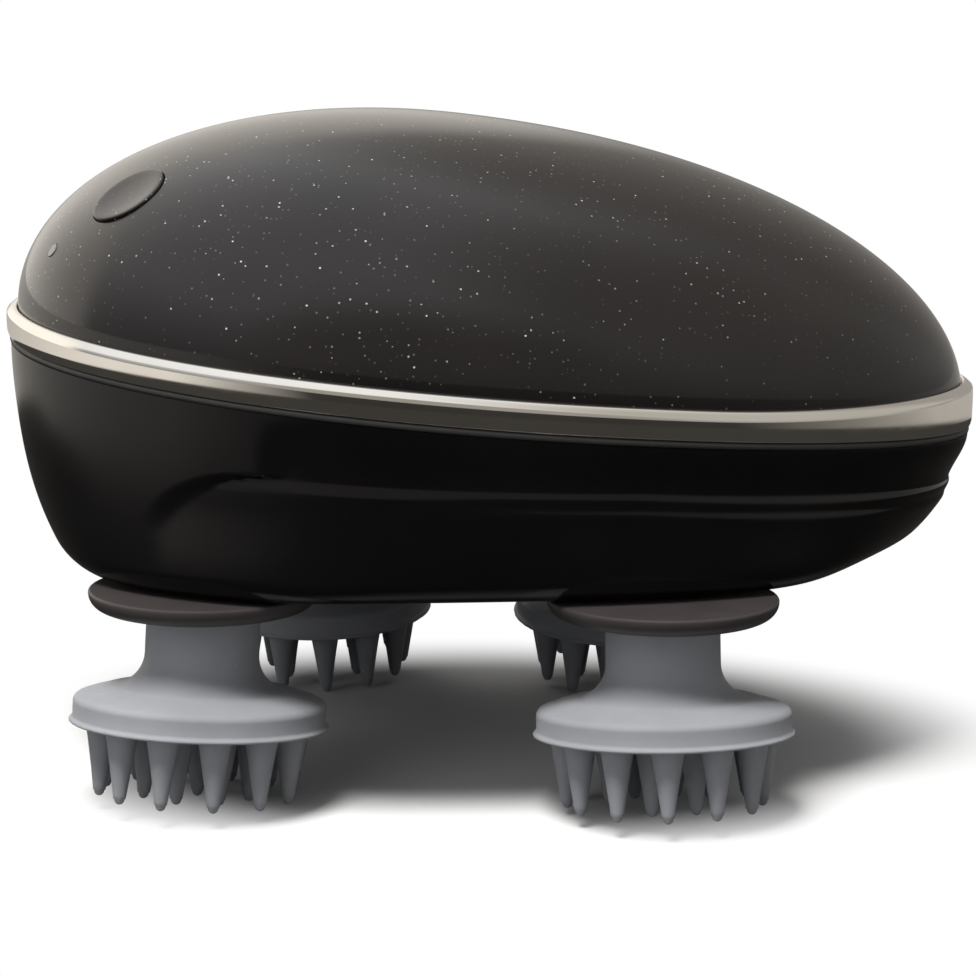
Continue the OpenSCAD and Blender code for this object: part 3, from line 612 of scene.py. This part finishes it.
def solve_on_dome(inv, x, y, t, s):
    """The t, s of the dome's point at x, y of a local frame, given its inverse and a first guess."""
    for _ in range(12):
        q = inv @ dome_point(t, s)
        ex, ey = x - q.x, y - q.y
        if abs(ex) + abs(ey) < 1e-5:
            break
        e = 1e-4
        a = (inv @ dome_point(t + e, s) - q) / e
        b = (inv @ dome_point(t, s + e) - q) / e
        det = a.x * b.y - a.y * b.x
        t += (ex * b.y - ey * b.x) / det
        s += (a.x * ey - a.y * ex) / det
    return t, s


def dome_grid(bm, lt, ls):
    """The dome's skin. Each point keeps its t and s in the layers lt and ls."""
    grid = []
    for i in range(DOME_RINGS):
        s = math.radians(89.0) * (i / (DOME_RINGS - 1)) ** 0.9
        row = []
        for j in range(DOME_SEG):
            t = j * TAU / DOME_SEG
            v = bm.verts.new(dome_point(t, s) * MM)
            v[lt], v[ls] = t, s
            row.append(v)
        grid.append(row)
    for low, high in zip(grid, grid[1:]):
        for j in range(DOME_SEG):
            k = (j + 1) % DOME_SEG
            bm.faces.new((low[j], low[k], high[k], high[j]))
    top = bm.verts.new(dome_point(0, math.pi / 2) * MM)
    top[lt], top[ls] = 0, math.pi / 2
    for j in range(DOME_SEG):
        bm.faces.new((grid[-1][j], grid[-1][(j + 1) % DOME_SEG], top))


def open_hole(bm, lt, ls, place, r, deep, finer):
    """Round hole: refine the skin, open a disc, snap its edge to a circle and carry it inward."""
    m = local_frame(*place)
    inv = m.inverted()
    middle = [math.radians(a) for a in place]

    def local(co):
        return inv @ (co / MM)

    for _ in range(finer):
        near = [f for f in bm.faces if local(f.calc_center_median()).length < r * 1.35 + 1.2]
        edges = list({e for f in near for e in f.edges})
        bmesh.ops.subdivide_edges(bm, edges=edges, cuts=1, use_grid_fill=True)
        for v in bm.verts:
            q = local(v.co)
            if q.length < r * 1.5 + 4:
                guess_t = v[lt] if v[lt] > 0.01 else middle[0]
                guess_s = v[ls] if v[ls] > 0.01 else middle[1]
                t, s = solve_on_dome(inv, q.x, q.y, guess_t, guess_s)
                v[lt], v[ls] = t, s
                v.co = dome_point(t, s) * MM
    inside = [f for f in bm.faces if local(f.calc_center_median()).length < r]
    bmesh.ops.delete(bm, geom=inside, context="FACES")
    rim = [e for e in bm.edges if e.is_boundary and all(local(v.co).length < r * 1.4 + 0.6 for v in e.verts)]
    for v in list({v for e in rim for v in e.verts}):
        d = local(v.co).xy.normalized() * r
        t, s = solve_on_dome(inv, d.x, d.y, v[lt], v[ls])
        v[lt], v[ls] = t, s
        v.co = dome_point(t, s) * MM
    new = bmesh.ops.extrude_edge_only(bm, edges=rim)
    down = (m.to_3x3() @ Vector((0, 0, -deep))) * MM
    for v in [g for g in new["geom"] if isinstance(g, bmesh.types.BMVert)]:
        v.co += down


def turn_in_edge(bm, lt, ls):
    """Skirt that goes down behind the band, inward and up again."""
    low = [v for v in bm.verts if v[ls] < 1e-7 and v.is_boundary]
    before = sorted(low, key=lambda v: round(v[lt], 5) % TAU)
    inner = -SHELL_IN - WALL
    for out, level in ((-SHELL_IN, SKIRT), (inner, SKIRT), (inner, BAND_H / 2 + 1)):
        row = []
        for j in range(DOME_SEG):
            x, y = outline(j * TAU / DOME_SEG, out)
            row.append(bm.verts.new(Vector((x, y, seam_z(x) + level)) * MM))
        for j in range(DOME_SEG):
            k = (j + 1) % DOME_SEG
            bm.faces.new((before[k], before[j], row[j], row[k]))
        before = row


def make_dome():
    bm = bmesh.new()
    lt = bm.verts.layers.float.new("t")
    ls = bm.verts.layers.float.new("s")
    dome_grid(bm, lt, ls)
    open_hole(bm, lt, ls, BUTTON, BUTTON_HOLE_R, BUTTON_DEEP, 2)
    open_hole(bm, lt, ls, LIGHT, LIGHT_HOLE_R, LIGHT_DEEP, 3)
    turn_in_edge(bm, lt, ls)
    bmesh.ops.recalc_face_normals(bm, faces=bm.faces)
    me = bpy.data.meshes.new("dome")
    bm.to_mesh(me)
    bm.free()
    me.shade_smooth()
    me.set_sharp_from_angle(angle=math.radians(40))
    me.materials.append(MAT["dome"])
    ob = bpy.data.objects.new("dome", me)
    bpy.context.scene.collection.objects.link(ob)
    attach(ob, "housing")
    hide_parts("top_shell")


# ---- band and gasket: each point of a section is out, level over the seam, share of the rise ----
def strip(name, section, node_name, slot, mat):
    rings = []
    for out, level, rise in section:
        ring = []
        for j in range(BAND_SEG):
            x, y = outline(j * TAU / BAND_SEG, out)
            ring.append(Vector((x, y, seam_z(x) + level + rise * RISE * tip_share(x))))
        rings.append(ring)
    verts, faces = lofted(rings, loop=True)
    add_mesh(name, verts, faces, "housing", [node_name], slot, mat, angle=50)


def make_band():
    lo, hi = -BAND_H / 2, BAND_H / 2
    lower_lip = [(-FLANGE, lo, 0), (-0.35, lo, 0), (-0.15, lo + 0.05, 0), (-0.02, lo + 0.18, 0),
                 (0.07, lo + 0.4, 0)]
    face = [(SWELL * 0.72, lo + 0.75, 0.05), (SWELL * 0.88, lo + 1.2, 0.15), (SWELL, lo + 1.9, 0.5),
            (SWELL, hi - 1.4, 0.8), (SWELL * 0.9, hi - 0.95, 0.95), (SWELL * 0.6, hi - 0.78, 1)]
    upper_lip = [(-0.35, hi - 0.3, 1), (-0.62, hi - 0.12, 1), (-0.85, hi - 0.02, 1), (-1.0, hi - 0.02, 1)]
    inside = [(-BAND_WALL, hi - 0.2, 1), (-BAND_WALL, lo + 1, 0), (-FLANGE, lo + 1, 0)]
    section = lower_lip + face + upper_lip + inside
    strip("band", section, "chrome_band", "band_chrome", MAT["chrome"])


def make_gasket():
    lo, hi = GASKET_LOW, GASKET_LOW + GASKET_H
    section = [(-FLANGE, lo, 0), (-0.45, lo, 0), (-0.22, lo + 0.12, 0), (-0.15, lo + 0.35, 0),
               (-0.15, hi - 0.3, 0), (-0.25, hi - 0.08, 0), (-0.45, hi, 0), (-FLANGE, hi, 0)]
    strip("gasket", section, "seam_gasket", "gasket_rubber", MAT["gasket"])


# ---- lower shell ----
def seat_z(x):
    """Height of a screw's seat, 10 mm below the top of the band's flange."""
    return seam_z(x) - BAND_H / 2 + 1 - 10


def make_hull():
    rings = []
    for i in range(HULL_RINGS):
        u = i / (HULL_RINGS - 1)
        ring = []
        for j in range(HULL_SEG):
            t = j * TAU / HULL_SEG
            ring.append(hull_point(t, belly_climb(t) * u))
        rings.append(ring)
    verts, faces = lofted(rings[::-1], True, True)
    hull = add_mesh("hull", verts, faces, "housing", ["lower_shell"], "hull_plastic", MAT["hull"])
    wells = [cylinder(x, y, POST_WELL_R, WELL_START, seat_z(x), 48) for x, y in POSTS]
    wells += [cylinder(x, y, SHAFT_WELL_R, WELL_START, CEILING + 0.35, 64) for x, y in SHAFTS]
    recess = port_prism(PORT_HALF, RECESS_R, -80, RECESS_X)
    opening = port_prism(SOCKET_HALF, SOCKET_R, -70, -50)
    trough = rod_y(HINGE_X, HINGE_Z, TROUGH_R, TROUGH_LENGTH)
    for cut in (join_parts(wells), recess, opening, trough):
        cut_away(hull, add_mesh("cut", *cut, None))
    me = hull.data
    me.shade_smooth()
    me.set_sharp_from_angle(angle=math.radians(28))
    if not me.materials:
        me.materials.append(MAT["hull"])


# ---- heads ----
def head_matrix(i):
    """Middle of a head in plan, and the frame that leans it about the collar's underside."""
    x = SHAFTS[i][0] + CRANK * math.cos(math.radians(CRANK_A[i]))
    y = SHAFTS[i][1] + CRANK * math.sin(math.radians(CRANK_A[i]))
    aim = Matrix.Rotation(math.radians(LEAN_A[i]), 4, "Z")
    return x, y, Matrix.Translation((x, y, COLLAR_Z)) @ aim @ Matrix.Rotation(math.radians(-LEAN), 4, "Y")


def massage_node(x, y, seed):
    """Tapered node with a round tip, slightly bent by its seed."""
    prof = [(NODE_ROOT + 0.55, NODE_H + 0.05), (NODE_ROOT + 0.25, NODE_H - 0.1), (NODE_ROOT, NODE_H - 0.4)]
    for z in (7.6, 6.2, 4.8, 3.4, 2.2, 1.3, 0.8):
        prof.append((NODE_ROOT + (0.68 - NODE_ROOT) * (1 - (z / (NODE_H - 0.4))) ** 0.92, z))
    for a in (0, -0.35, -0.75, -1.1, -1.35):
        prof.append((TIP_R * math.cos(a), TIP_R + TIP_R * math.sin(a)))
    prof.append((0.01, 0.0))
    bend = (math.sin(seed * 7.3) * 0.12, math.cos(seed * 5.1) * 0.12)
    rings = []
    for r, z in prof:
        k = ((NODE_H - z) / NODE_H) ** 2
        rings.append(circle(x + bend[0] * k, y + bend[1] * k, r, z - HEAD_H, 28))
    return lofted(rings, False, True)


def around(r, count):
    return [(r * math.cos(k * TAU / count), r * math.sin(k * TAU / count)) for k in range(count)]


def head_profile():
    """Half outline of a head, from under the flange up to inside the collar."""
    base = -HEAD_H + NODE_H
    sh = base + 3.6
    fz = sh + 1.3 + NECK_FILLET
    prof = [(0.01, base), (12.0, base), (16.35, base), (16.62, base + 0.12), (16.65, base + 0.3),
            (16.5, base + 0.5), (16.25, base + 0.62), (16.18, base + 0.9), (16.2, base + 1.8),
            (16.18, sh - 1.1)]
    prof += arc(15.2, sh - 1.0, 1.0, 5, 72, 6)
    prof += [(14.6, sh + 0.28), (13.4, sh + 0.62), (12.4, sh + 0.95)]
    prof += arc(NECK_R + NECK_FILLET + 0.2, fz, NECK_FILLET + 0.2, 262, 182, 12)
    prof += [(NECK_R, fz + 0.6), (7.28, -2.2), (NECK_R, -0.9), (7.45, -0.35), (7.8, 0.4), (7.8, 1.6)]
    return prof


def make_silicone(i):
    m = head_matrix(i)[2]
    skin = []
    for k, ring in enumerate(revolved(head_profile(), 112)):
        row = []
        for j, v in enumerate(ring):
            if 3 <= k <= 5:
                # the moulding flash at the flange's lower edge is ragged
                ragged = math.sin(j * 12.99 + i * 78.2) * 43758.5
                v.xy *= 1 - 0.006 * (ragged - math.floor(ragged)) ** 2
            w = m @ v
            # the neck's top stays flat under the collar
            if v.z > -0.3 and w.z > COLLAR_Z - 0.02:
                w.z = min(w.z, COLLAR_Z - 0.01)
            row.append(w)
        skin.append(row)
    parts = [lofted(skin, True, False)]
    turn = Matrix.Rotation(math.radians(NODE_A[i]), 4, "Z")
    places = [(0, 0)] + around(INNER_CIRCLE, 8) + around(TIP_CIRCLE, 12)
    for q, (nx, ny) in enumerate(places):
        v, f = massage_node(nx, ny, q + 31 * i)
        points = [m @ turn @ p for p in v]
        for p in points:
            p.z = max(p.z, 0.0)
        parts.append((points, f))
    verts, faces = join_parts(parts)
    add_mesh("soft_head_%d" % (i + 1), verts, faces, "head_%d" % (i + 1), ["silicone_head_%d" % (i + 1)],
             "silicone", MAT["silicone"], angle=60)


def make_collar(i):
    """Shallow bowl with a rounded underside."""
    x, y, _ = head_matrix(i)
    z0, z1 = COLLAR_Z, COLLAR_Z + COLLAR_H
    prof = [(0.01, z0), (7.9, z0), (10.6, z0)]
    prof += arc(COLLAR_R - COLLAR_ROUND, z0 + COLLAR_ROUND, COLLAR_ROUND, -78, -4, 9)
    prof += arc(COLLAR_R - COLLAR_EDGE, z1 - COLLAR_EDGE, COLLAR_EDGE, 5, 90, 5)
    prof.append((0.01, z1))
    rings = [[v + Vector((x, y, 0)) for v in ring] for ring in revolved(prof, 128)]
    verts, faces = lofted(rings, True, True)
    add_mesh("bowl_collar_%d" % (i + 1), verts, faces, "head_%d" % (i + 1), ["collar_%d" % (i + 1)],
             "collar_plastic", MAT["collar"], angle=60)


# ---- button and port cover ----
def make_button():
    """Cap with a rounded rim and a shallow dish."""
    m = local_frame(*BUTTON)
    top = 0.08
    prof = [(BUTTON_R, -BUTTON_DEEP), (BUTTON_R, top - 0.3)] + arc(4.98, top - 0.22, 0.22, 0, 85, 5)
    prof += [(4.6, top - 0.01), (4.2, top - 0.04), (3.2, top - 0.14), (2.2, top - 0.21), (1.1, top - 0.25),
             (0.01, top - 0.26)]
    rings = [[m @ v for v in ring] for ring in revolved(prof, 96)]
    verts, faces = lofted(rings, True, True)
    add_mesh("button_cap", verts, faces, "button", ["power_button"], "button_paint", MAT["dome"], angle=50)


def make_flap():
    """Port cover with a rounded outer edge, and its hinge rod."""
    edge = ((COVER_IN_X, 0.0), (COVER_OUT_X + 0.45, 0.0), (COVER_OUT_X + 0.2, 0.08),
            (COVER_OUT_X + 0.06, 0.22), (COVER_OUT_X, 0.45))
    rings = [port_ring(PORT_HALF, COVER_R - inset, x, 32) for x, inset in edge]
    hinge = rod_y(HINGE_X, HINGE_Z, HINGE_R, HINGE_LENGTH)
    verts, faces = join_parts([lofted(rings, True, True), hinge])
    add_mesh("flap", verts, faces, "port_flap", ["port_cover"], "flap_rubber", MAT["flap"], angle=50)


make_dome()
make_band()
make_gasket()
make_hull()
for head in range(4):
    make_silicone(head)
    make_collar(head)
make_button()
make_flap()

# ---- stage: the camera sees plain white, and the gloss sees plain fields of one tint ----
WARM = (1.0, 0.94, 0.86)
LIGHT_LEVEL = 0.24
SHOWN_LEVEL = 1.4
FLOOR_HALF = 3000

# soft fields that the gloss sees above the floor: direction, cosines where it fades in and is full, level
FIELDS = [
    ((0.15, -0.98, 0.08), 0.60, 0.92, 0.25),
    ((0.80, -0.05, 0.62), 0.62, 0.95, 0.35),
    ((0.36, 0.80, 0.48), 0.78, 0.95, 0.25),
    ((-0.28, 0.90, 0.28), 0.925, 0.975, 0.65),
    ((-0.80, 0.60, 0.14), 0.80, 0.91, 0.85),
]


def tinted(level):
    """The one warm tint of the surroundings, at a level of brightness."""
    return (*(level * c for c in WARM), 1)


def shown(nt, mirrored=1.0):
    """1 for camera and transmission rays, a share for glossy rays, 0 for the rays that carry light."""
    path = nt.nodes.new("ShaderNodeLightPath")
    first = nt.nodes.new("ShaderNodeMath")
    first.operation = "MULTIPLY_ADD"
    first.inputs[1].default_value = mirrored
    second = nt.nodes.new("ShaderNodeMath")
    second.operation = "ADD"
    second.use_clamp = True
    nt.links.new(path.outputs["Is Glossy Ray"], first.inputs[0])
    nt.links.new(path.outputs["Is Camera Ray"], first.inputs[2])
    nt.links.new(first.outputs[0], second.inputs[0])
    nt.links.new(path.outputs["Is Transmission Ray"], second.inputs[1])
    return second.outputs[0]


def ray_is(nt, kind):
    return nt.nodes.new("ShaderNodeLightPath").outputs[kind]


def length(nt, vector):
    n = nt.nodes.new("ShaderNodeVectorMath")
    n.operation = "LENGTH"
    nt.links.new(vector, n.inputs[0])
    return n.outputs["Value"]


def gloss_floor(nt, co):
    """What the gloss sees of the floor, painted light of a room: light at the left, dark in front, middling at
    the right and behind.
    """
    flat = nt.nodes.new("ShaderNodeSeparateXYZ")
    nt.links.new(co, flat.inputs[0])
    angle = nt.nodes.new("ShaderNodeMath")
    angle.operation = "ARCTAN2"
    nt.links.new(flat.outputs["Y"], angle.inputs[0])
    nt.links.new(flat.outputs["X"], angle.inputs[1])
    sweep = between(nt, angle.outputs[0], -math.pi, math.pi, "LINEAR")
    light, dark, middling = tinted(0.8), tinted(0.04), tinted(0.45)
    painted_room_light = ramp(nt, sweep, [(0.0, light), (0.1, light), (0.2, dark), (0.4, dark), (0.55, middling),
                            (0.8, middling), (1.0, light)])
    # near the object the floor is dark for the gloss all round, a painted shadow of the object
    away = ramp(nt, length(nt, co), [(0.288, BLACK), (0.31, WHITE)])
    return mixed(nt, away, tinted(0.05), painted_room_light)


def floor_material(name):
    m, nt, b = new_mat(name)
    co = coords(nt)
    # pale for the camera, darker for the gloss and for the rays that carry light; for the gloss this darker
    # floor is painted shade
    pale = ramp(nt, noise(nt, co, 3, 3), [(0.3, grey(0.86)), (0.7, grey(0.9))])
    nt.links.new(mixed(nt, shown(nt, 0.0), grey(0.23), pale), b.inputs["Base Color"])
    b.inputs["Roughness"].default_value = 0.8
    b.inputs["Specular IOR Level"].default_value = 0.0
    # away from the object's foot the floor runs out into plain white
    foot = nt.nodes.new("ShaderNodeVectorMath")
    foot.operation = "MULTIPLY"
    foot.inputs[1].default_value = (1 / 0.065, 1 / 0.052, 0)
    nt.links.new(co, foot.inputs[0])
    white = product(nt, between(nt, length(nt, foot.outputs[0]), 0.75, 1.22), shown(nt))
    glow = nt.nodes.new("ShaderNodeEmission")
    nt.links.new(mixed(nt, ray_is(nt, "Is Glossy Ray"), WHITE, gloss_floor(nt, co)), glow.inputs[0])
    glow.inputs[1].default_value = 1.0
    blend = shader_mix(nt, white, b.outputs[0], glow.outputs[0])
    # seen from below, the floor is clear
    side = nt.nodes.new("ShaderNodeNewGeometry")
    clear = nt.nodes.new("ShaderNodeBsdfTransparent")
    one_sided = shader_mix(nt, side.outputs["Backfacing"], blend, clear.outputs[0])
    nt.links.new(one_sided, nt.nodes["Material Output"].inputs[0])
    return m


def make_floor():
    h = FLOOR_HALF
    corners = [(-h, -h, 0), (h, -h, 0), (h, h, 0), (-h, h, 0)]
    floor = add_mesh("floor", corners, [(0, 1, 2, 3)], None, mat=floor_material("floor_pale"), flat=True)


def background(wt, strength):
    n = wt.nodes.new("ShaderNodeBackground")
    n.inputs[1].default_value = strength
    return n


def make_world():
    world = bpy.data.worlds.new("studio")
    bpy.context.scene.world = world
    world.use_nodes = True
    wt = world.node_tree
    for n in list(wt.nodes):
        wt.nodes.remove(n)
    direction = wt.nodes.new("ShaderNodeTexCoord").outputs["Generated"]
    axes = wt.nodes.new("ShaderNodeSeparateXYZ")
    wt.links.new(direction, axes.inputs[0])
    # for the gloss: a plain grey that lightens upward, with the soft fields over it
    seen = ramp(wt, axes.outputs["Z"], [(0.0, grey(0.2)), (0.30, grey(0.4)), (0.60, grey(0.65)),
                                        (1.0, grey(0.7))])
    for towards, start, end, level in FIELDS:
        dot = wt.nodes.new("ShaderNodeVectorMath")
        dot.operation = "DOT_PRODUCT"
        dot.inputs[1].default_value = Vector(towards).normalized()
        wt.links.new(direction, dot.inputs[0])
        seen = mixed(wt, between(wt, dot.outputs["Value"], start, end), seen, tinted(level))
    bg_light = background(wt, LIGHT_LEVEL)
    bg_light.inputs[0].default_value = WHITE
    bg_show = background(wt, SHOWN_LEVEL)
    wt.links.new(mixed(wt, ray_is(wt, "Is Camera Ray"), seen, grey(1 / SHOWN_LEVEL)), bg_show.inputs[0])
    out = wt.nodes.new("ShaderNodeOutputWorld")
    wt.links.new(shader_mix(wt, shown(wt), bg_light.outputs[0], bg_show.outputs[0]), out.inputs[0])


def area(name, loc, target, size, power, colour):
    li = bpy.data.lights.new(name, "AREA")
    li.shape = "RECTANGLE"
    li.size = size
    li.size_y = size
    li.energy = power
    li.color = colour
    ob = bpy.data.objects.new(name, li)
    bpy.context.scene.collection.objects.link(ob)
    ob.location = loc
    ob.rotation_euler = (Vector(target) - Vector(loc)).to_track_quat("-Z", "Y").to_euler()
    ob.visible_glossy = False


make_floor()
make_world()
area("key", (-0.2, -0.5, 1.1), (0, -0.03, 0.02), 0.42, 18, (1.0, 0.99, 0.97))
area("window", (-0.55, 0.65, 1.0), (-0.03, 0, 0.07), 0.9, 2, (1.0, 0.97, 0.88))
area("fill", (-0.55, -1.0, 0.45), (0, 0, 0.02), 0.8, 2.0, (0.97, 0.98, 1.0))

# ---- camera: place in millimetres, turn in degrees, focal length and frame width in pixels ----
CAMERA_PLACE = (29.4, -436, 114.0)
CAMERA_TURN = (-3.88, 10.22, 0.32)
FOCAL_PX = 3241
FRAME_PX = 976
SENSOR = 36


def make_camera():
    yaw, pitch, roll = (math.radians(v) for v in CAMERA_TURN)
    fwd = Vector((math.sin(yaw) * math.cos(pitch), math.cos(yaw) * math.cos(pitch), -math.sin(pitch)))
    right = Vector((math.cos(yaw), -math.sin(yaw), 0))
    up = right.cross(fwd)
    rolled_right = right * math.cos(roll) + up * math.sin(roll)
    rolled_up = -right * math.sin(roll) + up * math.cos(roll)
    data = bpy.data.cameras.new("camera")
    data.sensor_width = SENSOR
    data.lens = FOCAL_PX / FRAME_PX * SENSOR
    data.clip_start = 0.01
    cam = bpy.data.objects.new("camera", data)
    bpy.context.scene.collection.objects.link(cam)
    rot = Matrix((rolled_right, rolled_up, -fwd)).transposed()
    cam.matrix_world = Matrix.Translation(Vector(CAMERA_PLACE) * MM) @ rot.to_4x4()
    bpy.context.scene.camera = cam


make_camera()
bpy.context.scene.view_settings.view_transform = "Standard"
